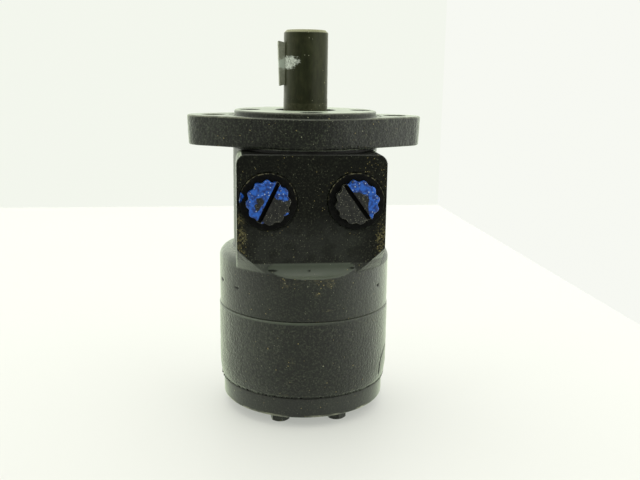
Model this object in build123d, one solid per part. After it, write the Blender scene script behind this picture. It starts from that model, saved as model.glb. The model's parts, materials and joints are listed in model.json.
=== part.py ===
from build123d import *
import math
import os

# Low-speed orbital hydraulic motor: a roller gear set at the bottom turns a cardan drive,
# which turns the one-piece output shaft and valve spool.
# Millimetres. The origin is on the shaft axis, in the flange's mounting face; +Z runs up the
# shaft, and the two ports face -Y.

# ---- Output shaft, spool and key ----
SHAFT_R = 12.7
SHAFT_TOP_Z = 47.8
JOURNAL_R = 12.8
JOURNAL_TOP_Z = 9.5
SHAFT_CHAMFER = 1.5
SPOOL_R = 22.0
SPOOL_TOP_Z = -15.5
SPOOL_BOTTOM_Z = -109.8
SPOOL_CLEARANCE = 0.04
SPOOL_CAVITY_R = 15.0
SPOOL_SPLINE_TOP_Z = -59.5
SPOOL_SPLINE_BOTTOM_Z = -78.0
KEY_WIDTH = 6.35
KEY_DISC_R = 12.7
KEY_HEIGHT = 11.1
KEY_SEAT_DEPTH = 7.96
KEY_Z = 29.0
KEY_TILT = 2.0
KEY_CLEARANCE = 0.05

# ---- Mounting flange, SAE A with two bolts ----
PILOT_R = 41.275
PILOT_H = 3.0
PILOT_CHAMFER = 0.7
FLANGE_T = 16.85
FLANGE_CENTRE_R = 42.8
FLANGE_EAR_R = 15.1
FLANGE_BOLT_X = 53.2
FLANGE_BOLT_R = 6.75
FLANGE_DRAFT = 2.0
FLANGE_EDGE_R = 0.9
RELIEF_R = 44.2
RELIEF_DEPTH = 0.5
CAP_SCREW_CIRCLE_R = 32.5
CAP_SCREW_HEAD_R = 5.85
CAP_SCREW_HEAD_H = 7.9
CAP_SCREW_SHANK_R = 3.95
CAP_SCREW_TIP_Z = -29.0
CAP_SCREW_SOCKET = 6.35
CAP_COUNTERBORE_R = 6.2
CAP_COUNTERBORE_Z = -6.6
CAP_SCREW_COUNT = 4

# ---- Seals and thrust bearing under the flange ----
DUST_POCKET_R = 17.6
DUST_POCKET_Z = -3.0
DUST_SEAL_TOP_Z = 1.6
SHAFT_BORE_R = 13.2
SEAL_POCKET_R = 18.0
SEAL_POCKET_TOP_Z = -5.0
BACKUP_WASHER_T = 1.2
THRUST_POCKET_R = 22.3
THRUST_POCKET_TOP_Z = -11.5
THRUST_RACE_T = 1.0
THRUST_RACE_R = 21.8
NEEDLE_R = 0.95
NEEDLE_LENGTH = 5.0
NEEDLE_CIRCLE_R = 17.5
NEEDLE_COUNT = 24
NEEDLE_GAP = 0.05
CAGE_T = 1.2

# ---- Housing ----
NECK_R = 42.2
BODY_R = 50.6
BODY_TOP_Z = -77.0
BODY_SHOULDER_R = 5.5
BODY_BOTTOM_Z = -110.8
NECK_ROOT_R = 3.0
BLOCK_HALF_WIDTH = 41.0
BLOCK_TOP_Z = -18.7
BLOCK_CORNER_R = 5.3
PORT_FACE_Y = -44.0
FACE_FILLET_R = 7.5
FACE_FILLET_Z = -78.5
UNDERCUT_Z = -83.7
UNDERCUT_R = 50.7
UNDERCUT_SLOPE = 0.70
SEAM_CHAMFER = 0.4

# ---- Ports, SAE-10 straight thread, and the galleries behind them ----
PORT_X = 24.0
PORT_Z = -44.0
PORT_R = 10.2
PORT_BOTTOM_Y = -28.5
PORT_MOUTH_R = 12.4
SPOT_FACE_R = 16.2
SPOT_FACE_DEPTH = 0.6
GALLERY_H = 6.0
UPPER_GALLERY_Z = -37.5
UPPER_GALLERY_R = 29.5
LOWER_GALLERY_Z = -51.5
LOWER_GALLERY_R = 25.2
PORT_DRILLING_X = 21.0
PORT_DRILLING_R = 2.7
PORT_DRILLING_END_Y = -9.0
SPOOL_GROOVE_R = 19.0
SLOT_COUNT = 12
SLOT_WIDTH = 5.0
SLOT_DEPTH = 2.5
SLOT_OVERLAP = 1.1
WINDOW_Z = -44.5
WINDOW_R = 2.0
PASSAGE_R = 2.2
PASSAGE_TOP_Z = -42.0
PASSAGE_CIRCLE_R = 28.6
BALANCE_GROOVE_ZS = (-80.0, -91.0, -102.0)
BALANCE_GROOVE_W = 1.6
BALANCE_GROOVE_DEPTH = 0.6

# ---- Case check valves ----
CHECK_ANGLES = (12.86, 167.14)
CHECK_CIRCLE_R = 28.0
CHECK_BORE_R = 3.275
CHECK_SEAT_Z = -98.0
CHECK_SEAT_R = 2.1
CHECK_SEAT_H = 3.0
CHECK_BALL_R = 3.175
CHECK_PLUG_TOP_Z = -104.6
CHECK_PLUG_R = 3.24
CHECK_DRILLING_R = 1.5
CHECK_DRILLING_CIRCLES = (27.6, 24.9)

# ---- Gear set: seven rollers round a six-lobe star ----
LOBES = 6
ROLLERS = LOBES + 1
ROLLER_CIRCLE_R = 28.6
ROLLER_R = 6.0
ECCENTRICITY = 3.0
GEAR_CLEARANCE = 0.03
RING_R = 51.0
RING_BORE_R = 29.2
SPACER_BOTTOM_Z = -117.3
RING_BOTTOM_Z = -156.0
RING_EDGE_R = 1.2
SPACER_BORE_R = 14.0
SIDE_PLAY = 0.05
SPOT_AZIMUTH = 2.0
SPOT_Z = -158.0
SPOT_R = 21.0
SPOT_FLOOR_R = 49.4
SPOT_TILT = 5.0

# ---- Cardan drive and its splines ----
DRIVE_TOP_PIVOT_Z = -69.0
DRIVE_LOW_PIVOT_Z = -137.0
DRIVE_SHANK_R = 8.0
DRIVE_HEAD_H = 14.0
DRIVE_TOP_Z = -61.0
DRIVE_BOTTOM_Z = -147.5
DRIVE_NOSE_R = 7.6
SPLINE_TEETH = 12
DRIVE_SPLINE = (9.6, 11.5, 7.6, 4.6)
SOCKET_SPLINE = (10.4, 12.3, 8.4, 5.6)
DRIVE_SPACER_R = 10.1
DRIVE_SPACER_TOP_Z = -148.6

# ---- End cap and its screws ----
END_CAP_R = 48.7
END_CAP_BOTTOM_Z = -168.0
END_CAP_EDGE_R = 1.2
BODY_BOLT_CIRCLE_R = 38.0
BODY_BOLT_R = 3.97
BODY_BOLT_HOLE_R = 4.2
BODY_BOLT_TOP_Z = -92.0
BODY_BOLT_FLATS = 10.0
BODY_BOLT_HEX_H = 3.9
BODY_BOLT_CONE_T = 1.2
BODY_BOLT_FLANGE_T = 0.8
BODY_BOLT_FLANGE_R = 7.0
FIRST_BOLT_ANGLE = 90.0
FIRST_ROLLER_ANGLE = -90.0

# ---- Static seals ----
THREAD_CLEARANCE = 0.03
FLANGE_SEAL_R = (24.6, 26.8)
BODY_SEAL_R = (43.7, 45.9)
SEAL_GROOVE_DEPTH = 1.6
SEAL_GAP = 0.08
SEAL_EDGE_R = 0.5
SEAL_LIP_GAP = 0.06

# ---- Port plugs ----
PLUG_SHANK_R = 10.1
PLUG_ROOT_R = 9.4
PLUG_NECK_R = 9.3
PLUG_THREAD_PITCH = 1.81
PLUG_THREAD_TURNS = 6
PLUG_THREAD_TOP = -1.9
PLUG_SHANK_LENGTH = 13.4
PLUG_RIM_R = 15.5
PLUG_RIM_T = 1.5
PLUG_GRIP_R = 11.5
PLUG_GRIP_WAVE = 0.65
PLUG_GRIP_LOBES = 12
PLUG_GRIP_H = 5.0
PLUG_GRIP_EDGE_R = 1.2
PLUG_SLOT_W = 2.1
PLUG_SLOT_DEPTH = 3.0
PLUG_SEAL_R = 10.15
PLUG_SEAL_CORD_R = 0.8
PLUG_SEAL_Z = -0.88
LEFT_SLOT_ANGLE = 64.0
RIGHT_SLOT_ANGLE = -54.0
LEFT_GRIP_PHASE = 4.0
RIGHT_GRIP_PHASE = 11.0

BASE = (Align.CENTER, Align.CENTER, Align.MIN)
REACH = 20.0


def polar(radius, degrees):
    """The point at a radius and an angle from +X."""
    return radius * math.cos(math.radians(degrees)), radius * math.sin(math.radians(degrees))


def around(count, first_angle):
    """Evenly spaced angles round the motor axis."""
    return [first_angle + index * 360.0 / count for index in range(count)]


def disc(radius, z_low, z_high, x=0.0, y=0.0):
    """An upright cylinder between two heights."""
    return Pos(x, y, z_low) * Cylinder(radius, z_high - z_low, align=BASE)


def ring(outer_r, inner_r, z_low, z_high):
    """A washer between two heights on the motor axis."""
    return disc(outer_r, z_low, z_high) - disc(inner_r, z_low - 1, z_high + 1)


def bolt_holes(radius, z_low, z_high):
    """The seven body screw holes as one cutter."""
    places = [polar(BODY_BOLT_CIRCLE_R, angle) for angle in around(ROLLERS, FIRST_BOLT_ANGLE)]
    return [disc(radius, z_low, z_high, x, y) for x, y in places]


def passages(z_low, z_high):
    """The seven oil passages that feed the chambers between the rollers."""
    places = [polar(PASSAGE_CIRCLE_R, angle) for angle in around(ROLLERS, FIRST_BOLT_ANGLE)]
    return [disc(PASSAGE_R, z_low, z_high, x, y) for x, y in places]


def circular_edges(shape, z, radius):
    """The full-circle edges at one height and radius on the motor axis."""
    rims = shape.edges().filter_by(GeomType.CIRCLE).filter_by_position(Axis.Z, z - 0.01, z + 0.01)
    return [rim for rim in rims if abs(rim.radius - radius) < 0.01]


def seal_ring(radii, z_low, height):
    """A rubber ring that fills its groove with a small gap all round."""
    inner_r, outer_r = radii
    body = ring(outer_r - SEAL_GAP, inner_r + SEAL_GAP, z_low + SEAL_GAP / 2, z_low + height - SEAL_GAP / 2)
    return fillet(body.edges().filter_by(GeomType.CIRCLE), SEAL_EDGE_R)


def lobed_face(points, count):
    """A closed face from one lobe's points, repeated; a lobe begins and ends square to its radius."""
    step = 360.0 / count
    lobe = Spline(*points, tangents=[polar(1.0, 90.0), polar(1.0, 90.0 + step)])
    return make_face([Rot(0, 0, index * step) * lobe for index in range(count)])


def spline_outline(root_r, tip_r, root_half, tip_half):
    """The toothed outline of a spline, from its root and tip radii and its half tooth angles."""
    corners = []
    for angle in around(SPLINE_TEETH, 0.0):
        corners.append(polar(root_r, angle - root_half))
        corners.append(polar(tip_r, angle - tip_half))
        corners.append(polar(tip_r, angle + tip_half))
        corners.append(polar(root_r, angle + root_half))
    return Polygon(*corners, align=None)


# ---------------------------------------------------------------- flange


def flange_outline():
    """The two-bolt diamond: a centre disc, two ears, and straight flanks tangent to them."""
    tilt = math.degrees(math.asin((FLANGE_CENTRE_R - FLANGE_EAR_R) / FLANGE_BOLT_X))
    flank_x, flank_y = polar(FLANGE_CENTRE_R, 90.0 - tilt)
    ear_x, ear_y = polar(FLANGE_EAR_R, 90.0 - tilt)
    ear_x += FLANGE_BOLT_X
    flanks = Polygon(
        (-ear_x, -ear_y),
        (-flank_x, -flank_y),
        (flank_x, -flank_y),
        (ear_x, -ear_y),
        (ear_x, ear_y),
        (flank_x, flank_y),
        (-flank_x, flank_y),
        (-ear_x, ear_y),
        align=None,
    )
    ears = [Pos(side * FLANGE_BOLT_X, 0) * Circle(FLANGE_EAR_R) for side in (-1, 1)]
    return Circle(FLANGE_CENTRE_R) + flanks + ears


def mounting_flange():
    plate = extrude(flange_outline(), amount=-FLANGE_T, taper=FLANGE_DRAFT)
    rims = plate.faces().filter_by(Axis.Z).edges()
    plate = fillet(rims, FLANGE_EDGE_R)
    plate -= ring(RELIEF_R, PILOT_R, -RELIEF_DEPTH, 1.0)
    pilot = disc(PILOT_R, -1.0, PILOT_H)
    pilot = chamfer(circular_edges(pilot, PILOT_H, PILOT_R), PILOT_CHAMFER)
    plate += pilot
    plate -= disc(DUST_POCKET_R, DUST_POCKET_Z, PILOT_H + 1)
    plate -= disc(SHAFT_BORE_R, -FLANGE_T - 1, PILOT_H)
    plate -= disc(SEAL_POCKET_R, -FLANGE_T - 1, SEAL_POCKET_TOP_Z)
    plate -= disc(THRUST_POCKET_R, -FLANGE_T - 1, THRUST_POCKET_TOP_Z)
    for side in (-1, 1):
        plate -= disc(FLANGE_BOLT_R, -FLANGE_T - 1, 1.0, side * FLANGE_BOLT_X)
    for angle in around(CAP_SCREW_COUNT, 0.0):
        x, y = polar(CAP_SCREW_CIRCLE_R, angle)
        plate -= disc(CAP_COUNTERBORE_R, CAP_COUNTERBORE_Z, PILOT_H + 1, x, y)
        plate -= disc(BODY_BOLT_HOLE_R, -FLANGE_T - 1, 0.0, x, y)
    return plate


def flange_cap_screws():
    """Four socket head screws that hold the flange to the housing."""
    head = Cylinder(CAP_SCREW_HEAD_R, CAP_SCREW_HEAD_H, align=BASE)
    head = chamfer(circular_edges(head, CAP_SCREW_HEAD_H, CAP_SCREW_HEAD_R), 0.6)
    socket = extrude(RegularPolygon(CAP_SCREW_SOCKET / 2, 6, major_radius=False), amount=CAP_SCREW_HEAD_H)
    head -= Pos(0, 0, CAP_SCREW_HEAD_H / 2) * socket
    length = CAP_COUNTERBORE_Z - CAP_SCREW_TIP_Z
    shank = Cylinder(CAP_SCREW_SHANK_R, length, align=BASE)
    shank = chamfer(circular_edges(shank, 0.0, CAP_SCREW_SHANK_R), 0.8)
    screw = head + Pos(0, 0, -length) * shank
    screws = []
    for index, angle in enumerate(around(CAP_SCREW_COUNT, 0.0)):
        x, y = polar(CAP_SCREW_CIRCLE_R, angle)
        screws.append(Pos(x, y, CAP_COUNTERBORE_Z + THREAD_CLEARANCE) * Rot(0, 0, 17.0 * index) * screw)
    return Compound(children=screws)


def dust_seal():
    """A rubber wiper with a raised lip against the shaft."""
    inner_r = JOURNAL_R + SEAL_LIP_GAP
    outer_r = DUST_POCKET_R - 0.05
    low = DUST_POCKET_Z + 0.03
    profile = Polygon(
        (inner_r + 1.0, low),
        (outer_r, low),
        (outer_r, DUST_SEAL_TOP_Z - 0.8),
        (inner_r + 2.4, DUST_SEAL_TOP_Z - 1.4),
        (inner_r + 0.9, DUST_SEAL_TOP_Z),
        (inner_r, DUST_SEAL_TOP_Z - 0.3),
        (inner_r, DUST_SEAL_TOP_Z - 1.2),
        align=None,
    )
    return revolve(Plane.XZ * profile, Axis.Z)


def backup_washer():
    top = SEAL_POCKET_TOP_Z - 0.03
    return ring(SEAL_POCKET_R - 0.05, JOURNAL_R + 0.25, top - BACKUP_WASHER_T, top)


def shaft_seal():
    """A four-lobed rubber seal under the backup washer."""
    top = SEAL_POCKET_TOP_Z - BACKUP_WASHER_T - 0.08
    low = THRUST_POCKET_TOP_Z + 0.05
    body = ring(SEAL_POCKET_R - 0.05, JOURNAL_R + SEAL_LIP_GAP, low, top)
    groove_z = (low + top) / 2
    for radius in (JOURNAL_R + SEAL_LIP_GAP, SEAL_POCKET_R - 0.05):
        body -= Pos(0, 0, groove_z) * Torus(radius, 0.9)
    return body


def thrust_race(z_top):
    return ring(THRUST_RACE_R, SHAFT_BORE_R, z_top - THRUST_RACE_T, z_top)


def needle_z():
    return THRUST_POCKET_TOP_Z - THRUST_RACE_T - NEEDLE_GAP - NEEDLE_R


def needle_placement(angle):
    return Rot(0, 0, angle) * Pos(NEEDLE_CIRCLE_R, 0, needle_z()) * Rot(0, 90, 0)


def thrust_needles():
    needle = Cylinder(NEEDLE_R, NEEDLE_LENGTH)
    needle = fillet(needle.edges().filter_by(GeomType.CIRCLE), 0.3)
    return Compound(children=[needle_placement(angle) * needle for angle in around(NEEDLE_COUNT, 0.0)])


def thrust_cage():
    middle = needle_z()
    cage = ring(THRUST_RACE_R - 0.4, SHAFT_BORE_R + 0.4, middle - CAGE_T / 2, middle + CAGE_T / 2)
    window = Box(2 * NEEDLE_R + 0.1, 2 * NEEDLE_R + 0.1, NEEDLE_LENGTH + 0.2)
    return cage - [needle_placement(angle) * window for angle in around(NEEDLE_COUNT, 0.0)]


# ---------------------------------------------------------------- shaft


def key_disc(radius, width):
    """The round of a half-moon key, with its centre just outside the shaft."""
    centre_x = -(SHAFT_R - KEY_SEAT_DEPTH) - KEY_DISC_R
    return Pos(centre_x, 0, KEY_Z) * Rot(90, 0, 0) * Cylinder(radius, width)


def woodruff_key():
    """The half-moon key, rocked slightly in its seat."""
    centre_x = -(SHAFT_R - KEY_SEAT_DEPTH) - KEY_DISC_R
    top_x = -(SHAFT_R - KEY_SEAT_DEPTH) - KEY_HEIGHT
    above = Pos(top_x - KEY_DISC_R, 0, KEY_Z) * Box(2 * KEY_DISC_R, 2 * KEY_WIDTH, 3 * KEY_DISC_R)
    key = key_disc(KEY_DISC_R, KEY_WIDTH) - above
    key = chamfer(key.edges().filter_by(GeomType.LINE), 0.3)
    return Pos(centre_x, 0, KEY_Z) * Rot(0, -KEY_TILT, 0) * Pos(-centre_x, 0, -KEY_Z) * key


def spool_slots():
    """Timing slots: alternate ones reach from the upper and from the lower groove to the windows."""
    upper_edge = UPPER_GALLERY_Z - GALLERY_H / 2
    lower_edge = LOWER_GALLERY_Z + GALLERY_H / 2
    length = upper_edge - lower_edge - SLOT_OVERLAP + 1.0
    cutters = []
    for index, angle in enumerate(around(SLOT_COUNT, 0.0)):
        top = upper_edge + 1.0 if index % 2 == 0 else lower_edge + length - 1.0
        cutter = Box(2 * SLOT_DEPTH, SLOT_WIDTH, length, align=(Align.CENTER, Align.CENTER, Align.MAX))
        cutters.append(Rot(0, 0, angle) * Pos(SPOOL_R, 0, top) * cutter)
    return cutters


def output_shaft():
    """The shaft end and the valve spool, made in one piece."""
    shaft_end = disc(SHAFT_R, SPOOL_TOP_Z - 1, SHAFT_TOP_Z)
    shaft_end = chamfer(circular_edges(shaft_end, SHAFT_TOP_Z, SHAFT_R), SHAFT_CHAMFER)
    journal = disc(JOURNAL_R, SPOOL_TOP_Z - 1, JOURNAL_TOP_Z)
    spool = disc(SPOOL_R, SPOOL_BOTTOM_Z, SPOOL_TOP_Z)
    spool = chamfer(spool.edges().filter_by(GeomType.CIRCLE), 0.5)
    shaft = shaft_end + journal + spool
    for gallery_z in (UPPER_GALLERY_Z, LOWER_GALLERY_Z):
        half = GALLERY_H / 2
        shaft -= ring(SPOOL_R + 1, SPOOL_GROOVE_R, gallery_z - half, gallery_z + half)
    for groove_z in BALANCE_GROOVE_ZS:
        half = BALANCE_GROOVE_W / 2
        shaft -= ring(SPOOL_R + 1, SPOOL_R - BALANCE_GROOVE_DEPTH, groove_z - half, groove_z + half)
    shaft -= spool_slots()
    shaft -= disc(SPOOL_CAVITY_R, SPOOL_BOTTOM_Z - 1, SPOOL_SPLINE_BOTTOM_Z)
    socket = extrude(spline_outline(*SOCKET_SPLINE), amount=SPOOL_SPLINE_TOP_Z - SPOOL_SPLINE_BOTTOM_Z + 1)
    shaft -= Pos(0, 0, SPOOL_SPLINE_BOTTOM_Z - 1) * socket
    shaft -= key_disc(KEY_DISC_R + KEY_CLEARANCE, KEY_WIDTH + 2 * KEY_CLEARANCE)
    return shaft


# ---------------------------------------------------------------- housing


def port_block():
    """The block that carries the ports; a turned cone trims its underside."""
    height = BLOCK_TOP_Z - UNDERCUT_Z
    block = Pos(0, PORT_FACE_Y, UNDERCUT_Z) * Box(
        2 * BLOCK_HALF_WIDTH, -PORT_FACE_Y, height, align=(Align.CENTER, Align.MIN, Align.MIN)
    )
    shoulders = block.edges().filter_by(Axis.Y).group_by(Axis.Z)[-1]
    block = fillet(shoulders, BLOCK_CORNER_R)
    cone_top_r = UNDERCUT_R + UNDERCUT_SLOPE * height
    cone = Pos(0, 0, UNDERCUT_Z) * Cone(UNDERCUT_R, cone_top_r, height, align=BASE)
    return block & cone


def face_mill():
    """The sweep of the round-cornered cutter that faces the block and scoops the body below it."""
    centre_y = PORT_FACE_Y - FACE_FILLET_R
    low_z = FACE_FILLET_Z - FACE_FILLET_R
    corner = CenterArc((centre_y, FACE_FILLET_Z), FACE_FILLET_R, 270, 90)
    path = Polyline(
        (PORT_FACE_Y, FACE_FILLET_Z),
        (PORT_FACE_Y, REACH),
        (-BODY_R - REACH, REACH),
        (-BODY_R - REACH, low_z),
        (centre_y, low_z),
    )
    profile = make_face([corner, *path.edges()])
    return extrude(Plane.YZ * profile, amount=BODY_R + REACH, both=True)


def port_tool(side):
    """One port with its spot face, seal chamfer, threaded bore and drilling to its gallery."""
    face_y = PORT_FACE_Y + SPOT_FACE_DEPTH
    mouth = Plane(origin=(side * PORT_X, face_y, PORT_Z), x_dir=(1, 0, 0), z_dir=(0, -1, 0))
    depth = PORT_BOTTOM_Y - face_y
    chamfer_depth = PORT_MOUTH_R - PORT_R
    tool = mouth * Cylinder(SPOT_FACE_R, REACH, align=BASE)
    tool += mouth * Pos(0, 0, -depth) * Cylinder(PORT_R, depth + 1, align=BASE)
    tool += mouth * Pos(0, 0, -chamfer_depth) * Cone(PORT_R, PORT_MOUTH_R, chamfer_depth, align=BASE)
    gallery_z = UPPER_GALLERY_Z if side < 0 else LOWER_GALLERY_Z
    start_y = PORT_BOTTOM_Y - 1
    drilling = Cylinder(PORT_DRILLING_R, PORT_DRILLING_END_Y - start_y, align=BASE)
    tool += Pos(side * PORT_DRILLING_X, start_y, gallery_z) * Rot(-90, 0, 0) * drilling
    return tool


def valve_cuts():
    """The two ring galleries and the seven windows that the spool opens and closes."""
    half = GALLERY_H / 2
    cuts = [
        disc(UPPER_GALLERY_R, UPPER_GALLERY_Z - half, UPPER_GALLERY_Z + half),
        disc(LOWER_GALLERY_R, LOWER_GALLERY_Z - half, LOWER_GALLERY_Z + half),
    ]
    window = Rot(0, 90, 0) * Cylinder(WINDOW_R, PASSAGE_CIRCLE_R, align=BASE)
    for angle in around(ROLLERS, FIRST_BOLT_ANGLE):
        cuts.append(Pos(0, 0, WINDOW_Z) * Rot(0, 0, angle) * window)
    return cuts + passages(BODY_BOTTOM_Z - 1, PASSAGE_TOP_Z)


def check_valve_cuts():
    """The two ball check bores, each with its seat and its drilling up to a gallery."""
    gallery_zs = (UPPER_GALLERY_Z, LOWER_GALLERY_Z)
    side_drilling = Rot(0, 90, 0) * Cylinder(1.0, CHECK_CIRCLE_R, align=BASE)
    cuts = []
    for angle, drilling_circle, gallery_z in zip(CHECK_ANGLES, CHECK_DRILLING_CIRCLES, gallery_zs):
        x, y = polar(CHECK_CIRCLE_R, angle)
        cuts.append(disc(CHECK_BORE_R, BODY_BOTTOM_Z - 1, CHECK_SEAT_Z, x, y))
        cuts.append(disc(CHECK_SEAT_R, CHECK_SEAT_Z - 1, CHECK_SEAT_Z + CHECK_SEAT_H, x, y))
        x, y = polar(drilling_circle, angle)
        cuts.append(disc(CHECK_DRILLING_R, CHECK_SEAT_Z + 1, gallery_z, x, y))
        cuts.append(Pos(0, 0, BALANCE_GROOVE_ZS[-1]) * Rot(0, 0, angle) * side_drilling)
    return cuts


def housing():
    neck = disc(NECK_R, BODY_BOTTOM_Z, -FLANGE_T)
    body = disc(BODY_R, BODY_BOTTOM_Z, BODY_TOP_Z)
    body = fillet(circular_edges(body, BODY_TOP_Z, BODY_R), BODY_SHOULDER_R)
    body = chamfer(circular_edges(body, BODY_BOTTOM_Z, BODY_R), SEAM_CHAMFER)
    shell = neck + body
    shell = fillet(circular_edges(shell, BODY_TOP_Z, NECK_R), NECK_ROOT_R)
    shell += port_block()
    shell -= face_mill()
    shell -= disc(SPOOL_R + SPOOL_CLEARANCE, BODY_BOTTOM_Z - 1, 0.0)
    for side in (-1, 1):
        shell -= port_tool(side)
    shell -= valve_cuts()
    shell -= check_valve_cuts()
    seal_groove = ring(FLANGE_SEAL_R[1], FLANGE_SEAL_R[0], -FLANGE_T - SEAL_GROOVE_DEPTH, 0.0)
    shell -= seal_groove
    shell -= ring(BODY_SEAL_R[1], BODY_SEAL_R[0], BODY_BOTTOM_Z - 1, BODY_BOTTOM_Z + SEAL_GROOVE_DEPTH)
    for angle in around(CAP_SCREW_COUNT, 0.0):
        x, y = polar(CAP_SCREW_CIRCLE_R, angle)
        shell -= disc(CAP_SCREW_SHANK_R + THREAD_CLEARANCE, CAP_SCREW_TIP_Z - 1, 0.0, x, y)
    shell -= bolt_holes(BODY_BOLT_R + THREAD_CLEARANCE, BODY_BOTTOM_Z - 1, BODY_BOLT_TOP_Z + 1)
    return shell


def check_ball(index):
    x, y = polar(CHECK_CIRCLE_R, CHECK_ANGLES[index])
    return Pos(x, y, CHECK_PLUG_TOP_Z + CHECK_BALL_R + 0.03) * Sphere(CHECK_BALL_R)


def check_valve_plugs():
    """Two small plugs that keep the check balls in their bores, each with a screwdriver slot."""
    plugs = []
    for angle in CHECK_ANGLES:
        x, y = polar(CHECK_CIRCLE_R, angle)
        low = BODY_BOTTOM_Z + 0.3
        slot = Pos(x, y, low) * Rot(0, 0, angle) * Box(2 * CHECK_BORE_R, 1.2, 2.4)
        plugs.append(disc(CHECK_PLUG_R, low, CHECK_PLUG_TOP_Z, x, y) - slot)
    return Compound(children=plugs)


# ---------------------------------------------------------------- gear set


def spacer_plate():
    plate = disc(RING_R, SPACER_BOTTOM_Z, BODY_BOTTOM_Z)
    plate = chamfer(circular_edges(plate, BODY_BOTTOM_Z, RING_R), SEAM_CHAMFER)
    plate -= disc(SPACER_BORE_R, SPACER_BOTTOM_Z - 1, 0.0)
    plate -= passages(SPACER_BOTTOM_Z - 1, 0.0)
    plate -= bolt_holes(BODY_BOLT_HOLE_R, SPACER_BOTTOM_Z - 1, 0.0)
    plate -= ring(BODY_SEAL_R[1], BODY_SEAL_R[0], SPACER_BOTTOM_Z - 1, SPACER_BOTTOM_Z + SEAL_GROOVE_DEPTH)
    return plate


def geroler_ring():
    """The fixed ring, with seven half-round pockets for the rollers and one worn spot outside."""
    blank = disc(RING_R, RING_BOTTOM_Z, SPACER_BOTTOM_Z)
    blank = fillet(circular_edges(blank, RING_BOTTOM_Z, RING_R), RING_EDGE_R)
    blank -= disc(RING_BORE_R, RING_BOTTOM_Z - 1, 0.0)
    for angle in around(ROLLERS, FIRST_ROLLER_ANGLE):
        x, y = polar(ROLLER_CIRCLE_R, angle)
        blank -= disc(ROLLER_R + GEAR_CLEARANCE, RING_BOTTOM_Z - 1, 0.0, x, y)
    blank -= bolt_holes(BODY_BOLT_HOLE_R, RING_BOTTOM_Z - 1, 0.0)
    spot = Pos(SPOT_FLOOR_R, 0, SPOT_Z) * Rot(0, 90 + SPOT_TILT, 0) * Cylinder(SPOT_R, REACH, align=BASE)
    return blank - Rot(0, 0, SPOT_AZIMUTH) * spot


def geroler_roller(index):
    x, y = polar(ROLLER_CIRCLE_R, around(ROLLERS, FIRST_ROLLER_ANGLE)[index])
    roller = disc(ROLLER_R, RING_BOTTOM_Z + SIDE_PLAY, SPACER_BOTTOM_Z - SIDE_PLAY, x, y)
    return chamfer(roller.edges().filter_by(GeomType.CIRCLE), 0.3)


def star_outline(steps=16):
    """The path of the roller centres round the star, moved inward by the roller's radius."""
    offset = ROLLER_R + GEAR_CLEARANCE
    points = []
    for step in range(steps + 1):
        turn = 2 * math.pi * step / (steps * LOBES)
        slope_x = -ROLLER_CIRCLE_R * math.sin(turn) + ROLLERS * ECCENTRICITY * math.sin(ROLLERS * turn)
        slope_y = ROLLER_CIRCLE_R * math.cos(turn) - ROLLERS * ECCENTRICITY * math.cos(ROLLERS * turn)
        length = math.hypot(slope_x, slope_y)
        path_x = ROLLER_CIRCLE_R * math.cos(turn) - ECCENTRICITY * math.cos(ROLLERS * turn)
        path_y = ROLLER_CIRCLE_R * math.sin(turn) - ECCENTRICITY * math.sin(ROLLERS * turn)
        points.append((path_x - offset * slope_y / length, path_y + offset * slope_x / length))
    return lobed_face(points, LOBES)


def geroler_star():
    """The six-lobe star, one eccentricity off the motor axis towards the ports."""
    low = RING_BOTTOM_Z + SIDE_PLAY
    height = SPACER_BOTTOM_Z - SIDE_PLAY - low
    star = extrude(star_outline(), amount=height)
    star -= extrude(spline_outline(*SOCKET_SPLINE), amount=height)
    return Pos(0, -ECCENTRICITY, low) * Rot(0, 0, FIRST_ROLLER_ANGLE) * star


def cardan_drive():
    """The dog-bone drive, leaning from the shaft's axis to the star's."""
    run = DRIVE_TOP_PIVOT_Z - DRIVE_LOW_PIVOT_Z
    lean = math.degrees(math.atan2(ECCENTRICITY, run))
    low = DRIVE_BOTTOM_Z - DRIVE_LOW_PIVOT_Z
    top = DRIVE_TOP_Z - DRIVE_LOW_PIVOT_Z
    head = extrude(spline_outline(*DRIVE_SPLINE), amount=DRIVE_HEAD_H)
    crown = Cylinder(DRIVE_SPLINE[1], DRIVE_HEAD_H, align=BASE)
    crown = chamfer(crown.edges().filter_by(GeomType.CIRCLE), 1.2)
    head = head & crown
    drive = disc(DRIVE_SHANK_R, 0.0, run)
    nose = disc(DRIVE_NOSE_R, low, top)
    drive += chamfer(nose.edges().filter_by(GeomType.CIRCLE), 1.5)
    for pivot in (0.0, math.hypot(run, ECCENTRICITY)):
        drive += Pos(0, 0, pivot - DRIVE_HEAD_H / 2) * head
    return Pos(0, -ECCENTRICITY, DRIVE_LOW_PIVOT_Z) * Rot(-lean, 0, 0) * drive


def drive_spacer():
    """The loose disc that keeps the drive up off the end cap."""
    disc_blank = disc(DRIVE_SPACER_R, RING_BOTTOM_Z + SIDE_PLAY, DRIVE_SPACER_TOP_Z, 0.0, -ECCENTRICITY)
    return chamfer(disc_blank.edges().filter_by(GeomType.CIRCLE), 0.5)


# ---------------------------------------------------------------- end cap


def end_cap():
    cap = disc(END_CAP_R, END_CAP_BOTTOM_Z, RING_BOTTOM_Z)
    cap = fillet(circular_edges(cap, END_CAP_BOTTOM_Z, END_CAP_R), END_CAP_EDGE_R)
    cap = chamfer(circular_edges(cap, RING_BOTTOM_Z, END_CAP_R), SEAM_CHAMFER)
    cap -= bolt_holes(BODY_BOLT_HOLE_R, END_CAP_BOTTOM_Z - 1, 0.0)
    cap -= ring(BODY_SEAL_R[1], BODY_SEAL_R[0], RING_BOTTOM_Z - SEAL_GROOVE_DEPTH, 0.0)
    return cap


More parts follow.
